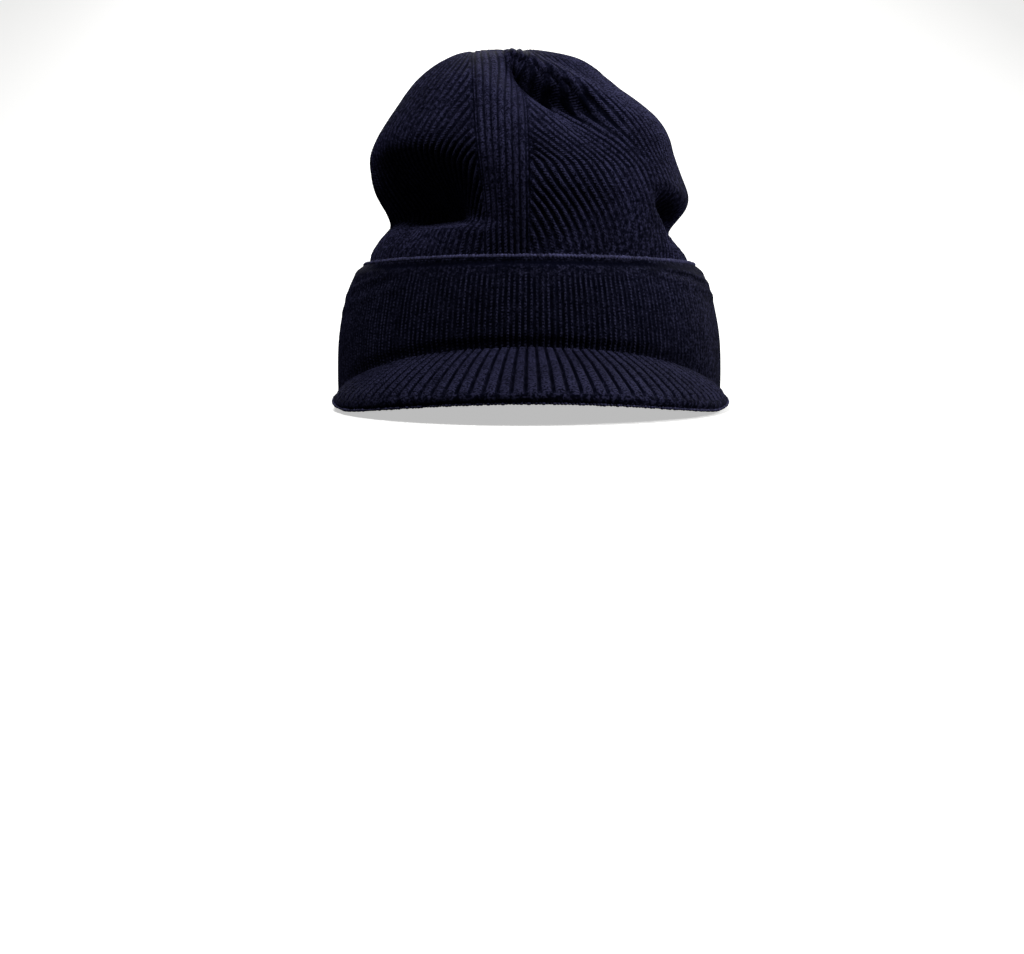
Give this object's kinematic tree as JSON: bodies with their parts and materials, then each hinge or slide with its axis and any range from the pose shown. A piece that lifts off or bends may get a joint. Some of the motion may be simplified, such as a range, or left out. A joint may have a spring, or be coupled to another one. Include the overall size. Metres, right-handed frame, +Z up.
{
  "type": "visor beanie",
  "caption": "Rib-knit beanie with a turned-up cuff, a hemmed cuff edge and a short arched visor sewn to the front fold.",
  "frame": {"origin": "middle of the hat's bounding box, on the surface that it stands on", "axes": "+Z up, the visor points along -Y, +X to the right when the visor faces the viewer"},
  "size_m": [0.185, 0.2682, 0.166],
  "materials": {
    "crown_knit": "matt navy rib knit with fine chunky wales",
    "cuff_knit": "matt navy rib knit, turned up, with a hemmed edge",
    "visor_knit": "matt navy rib knit stretched over a stiff core, ribs fanning forwards"
  },
  "bodies": {
    "root": {"crown": "crown_knit", "cuff": "cuff_knit", "visor": "visor_knit"}
  },
  "joints": []
}
